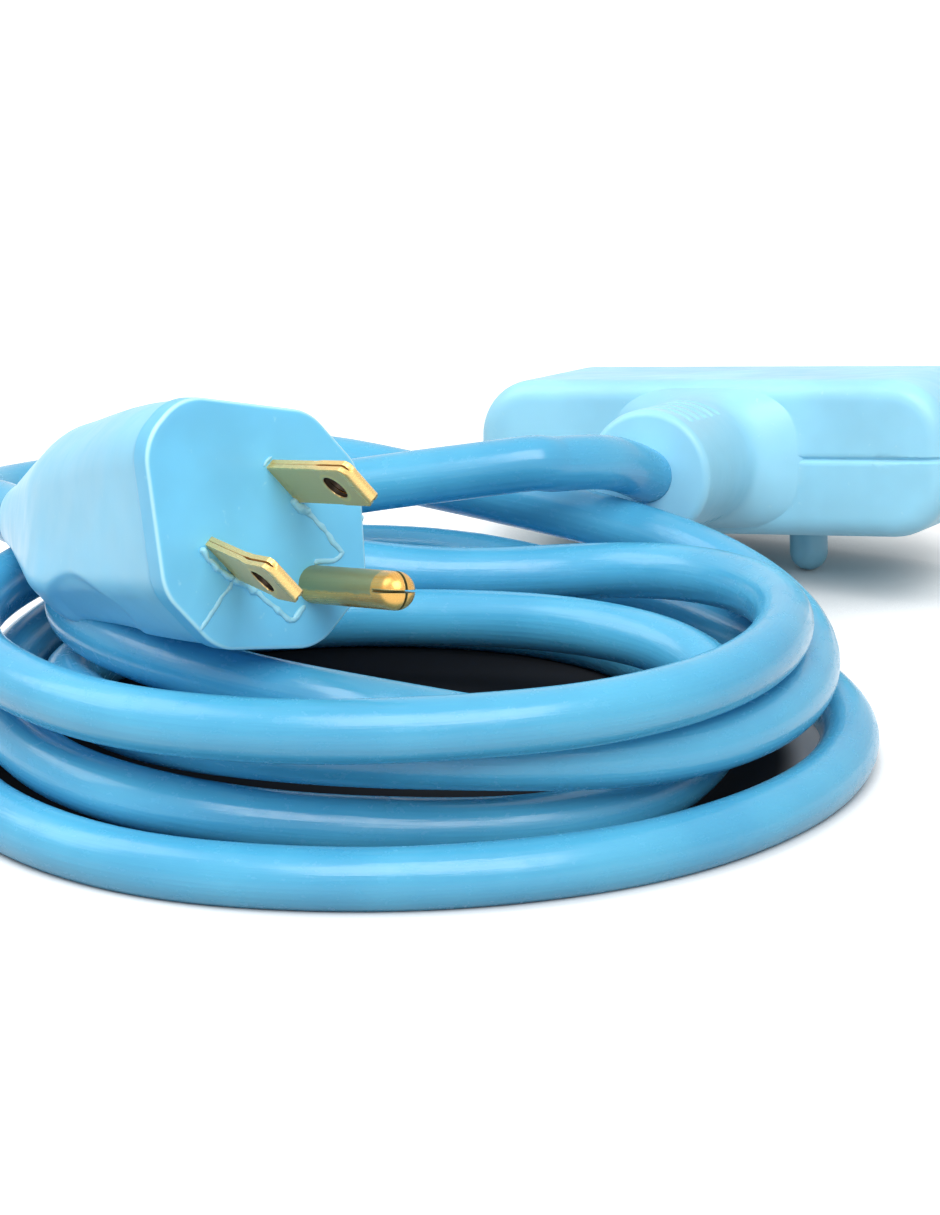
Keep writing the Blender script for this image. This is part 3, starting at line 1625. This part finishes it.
    def foot(self) -> Piece:
        """Round foot with a domed end: the radius follows a sine and the height a cosine, to a straight side.

        Returns:
            The closed foot, in raw millimetres.
        """
        radius = self.foot_d / 2
        bend = quarter(12)
        z = np.concatenate([self.foot_low - radius * np.cos(bend), [-self.thick / 2 + 2]])
        wide = np.concatenate([np.maximum(radius * np.sin(bend), 0.01), [radius]])
        path = np.column_stack([np.tile(self.foot_at, (len(z), 1)), z])
        return Skin(tube(path, wide, 40, (0, 1, 0))).piece("foot", RAW, 40.0)

    def _slot(self, x: float, z: float, wide: float, high: float, radius: float) -> Piece:
        """Cutter for one opening: an outline carried inwards, wider at its mouth.

        Args:
            x: Place of its middle across the block.
            z: Its height.
            wide: Width of the opening.
            high: Height of the opening.
            radius: Its corner radius.

        Returns:
            The cutter, in raw millimetres.
        """
        shape = box_outline(wide, high, radius, 8, 0.25)
        end = self.neck + self.depth
        y = (end + 1, end + 1, end + 0.01, end - 0.45, end - 14, end - 14)
        grow = (0, 0.45, 0.45, 0, 0, 0)
        scale = (0, 1, 1, 1, 1, 0)
        rings = [at_depth(shape * k + np.sign(shape) * g + [x, z], v) for v, g, k in zip(y, grow, scale)]
        return Skin(np.stack(rings)).piece("punch", RAW, 30.0)

    def build(self, paint: Paint) -> None:
        """Makes the block with its neck, foot and openings, and dresses it.

        Args:
            paint: Where it gets its finish.
        """
        piece = self.shell()
        for part in (self.neck_skin(), self.foot()):
            piece = combined(piece, part, Join.ADD)
        for x in (-self.pitch, 0.0, self.pitch):
            for dx, high in zip((-self.blade_pitch / 2, self.blade_pitch / 2), self.slot_high):
                slot = self._slot(x + dx, self.slot_z, self.slot_wide, high, self.slot_corner)
                piece = combined(piece, slot, Join.CUT)
            size = (self.hole_size, self.hole_size, self.hole_corner)
            piece = combined(piece, self._slot(x, self.slot_z - self.pin_offset, *size), Join.CUT)
        piece = placed(piece, BLOCK_FRAME, raw_points(piece), 35.0)
        paint.hand_over(piece, Finish.BLOCK, ["outlet_overmould"])


# ---- Inside ------------------------------------------------------------------------------------


class Inside:
    """Finishes for the CAD nodes that stay: inserts, contacts, cores and strands."""

    finishes: dict[Finish, tuple[str, ...]] = {
        Finish.INSERT: ("plug_bridge", "contact_carrier", "carrier_cover"),
        Finish.BUS: ("line_bus", "neutral_bus", "ground_bus"),
        Finish.BLACK: ("plug_line_core", "outlet_line_core"),
        Finish.WHITE: ("plug_neutral_core", "outlet_neutral_core"),
        Finish.GREEN: ("plug_ground_core", "outlet_ground_core"),
        Finish.COPPER: tuple(
            f"{end}_{core}_strands" for end in ("plug", "outlet") for core in ("line", "neutral", "ground")
        ),
    }

    def build(self, paint: Paint, nodes: dict[str, Piece]) -> None:
        """Dresses the nodes.

        Args:
            paint: Where they get their finishes.
            nodes: The model's objects by name.
        """
        for finish, names in self.finishes.items():
            for name in names:
                paint.dress(nodes[name], finish)
        paint.dress(nodes["outlet_jacket_end"], Finish.CORD)


# ---- Studio ------------------------------------------------------------------------------------


@dataclass
class Studio:
    """Camera, lamps, floor and world.

    Attributes:
        camera_at: The camera's place, in metres.
        pitch_down: Its angle below the horizon.
        focal_px: Its focal length in pixels.
        picture: Width and height of the picture.
        ring_middle: Middle of the dark ground inside the coil, in layout millimetres.
        ring_reach: Its reach along X and Y.
        ground: Its colour.
    """

    camera_at: tuple[float, float, float] = (-0.00992, -0.45699, 0.158)
    pitch_down: float = 18.0
    focal_px: float = 3340.0
    picture: tuple[int, int] = (940, 1215)
    ring_middle: tuple[float, float] = (-8.0, 2.0)
    ring_reach: tuple[float, float] = (60.0, 56.0)
    ground: Colour = (0.024, 0.027, 0.032)

    def camera(self) -> None:
        """Adds the camera: it looks along +Y, pitched down, with no shift and all in focus."""
        data = bpy.data.cameras.new("camera")
        data.sensor_fit = "AUTO"
        data.sensor_width = 36.0
        data.lens = self.focal_px / max(self.picture) * data.sensor_width
        data.clip_start, data.clip_end = 0.01, 20.0
        holder = link(bpy.data.objects.new("camera", data))
        holder.location = self.camera_at
        holder.rotation_euler = (math.radians(90 - self.pitch_down), 0, 0)
        bpy.context.scene.camera = holder

    def lamp(self, name: str, at: Sequence[float], size: float, watts: float) -> None:
        """Adds a square soft lamp that points at the object.

        Args:
            name: The lamp's name.
            at: Its place, in metres.
            size: Its side, in metres.
            watts: Its power.
        """
        data = bpy.data.lights.new(name, "AREA")
        data.shape, data.size, data.energy = "SQUARE", size, watts
        holder = link(bpy.data.objects.new(name, data))
        holder.location = at
        aim = np.array([0.0, 0.0, 0.02]) - np.array(at)
        flat = math.hypot(aim[0], aim[1])
        holder.rotation_euler = (math.atan2(flat, -aim[2]), 0, math.atan2(aim[1], aim[0]) - math.pi / 2)

    def seen(self, tree: Tree) -> Val:
        """Tells what is looked at from the light that reaches surfaces.

        Args:
            tree: The tree that asks.

        Returns:
            1 for camera, glossy and transmission rays, and 0 for all others.
        """
        kinds = ("Camera", "Glossy", "Transmission")
        rays = [tree.add("ShaderNodeLightPath", out=f"Is {kind} Ray") for kind in kinds]
        return rays[0].at_least(rays[1]).at_least(rays[2])

    def world(self) -> None:
        """Sets a world that is white where it is seen and a plain grey fill elsewhere."""
        world = bpy.data.worlds.new("studio")
        bpy.context.scene.world = world
        tree = Tree(world)
        strength = self.seen(tree) * 0.60 + 0.40
        back = tree.add("ShaderNodeBackground", {}, {"Color": (1, 1, 1, 1), "Strength": strength})
        tree.add("ShaderNodeOutputWorld", {}, {"Surface": back})

    def floor(self) -> None:
        """A plain white floor that keeps the object's shadow, with dark ground inside the coil."""
        span = np.array([[-1, -1, 0], [1, -1, 0], [1, 1, 0], [-1, 1, 0]]) * 4.0
        mesh = bpy.data.meshes.new("floor")
        mesh.from_pydata((span - [0, 0, 0.0001]).tolist(), [], [(0, 1, 2, 3)])
        piece = link(bpy.data.objects.new("floor", mesh))
        made = bpy.data.materials.new("pale_floor")
        tree = Tree(made)
        seen = self.seen(tree)
        middle = tuple((LAYOUT_ORIGIN - [*self.ring_middle, 0]) * MM)
        offset = tree.add("ShaderNodeVectorMath", {"operation": "ADD"}, {0: tree.place(), 1: middle})
        share = tuple(1 / (MM * r) for r in (*self.ring_reach, 1000.0))
        scaled = tree.stretch(offset, share)
        away = tree.add("ShaderNodeVectorMath", {"operation": "LENGTH"}, {0: scaled}, out="Value")
        open_air = tree.add("ShaderNodeAmbientOcclusion", {"samples": 8}, {"Distance": 0.07}, out="AO")
        ringed = away.step(1.02, 0.90)
        lit = open_air.step(0.40, 0.85) * (1 - ringed)
        pale = tree.mix(seen, (0.45, 0.45, 0.45), (0.85, 0.85, 0.85))
        diffuse = tree.add("ShaderNodeBsdfDiffuse", {}, {"Color": tree.mix(ringed, pale, self.ground)})
        glow = tree.add("ShaderNodeEmission", {}, {"Color": (1, 1, 1, 1), "Strength": seen * lit * 0.5})
        both = tree.add("ShaderNodeAddShader", {}, {0: diffuse, 1: glow})
        tree.add("ShaderNodeOutputMaterial", {}, {"Surface": both})
        mesh.materials.append(made)

    def build(self) -> None:
        """Sets the stage."""
        bpy.context.scene.view_settings.view_transform = "Standard"
        self.camera()
        self.world()
        self.floor()
        self.lamp("front_top", (0.15, -0.75, 0.95), 0.9, 13.0)
        self.lamp("left_top", (-0.85, 0.0, 0.95), 0.9, 7.0)


def main() -> None:
    """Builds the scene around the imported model."""
    logging.basicConfig(level=logging.INFO, format="%(name)s %(message)s")
    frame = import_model()
    studio = Studio()
    studio.build()
    paint = Paint()
    Cord().build(paint)
    Plug().build(paint)
    Block().build(paint)
    Inside().build(paint, frame["nodes"])


if __name__ == "__main__":
    main()
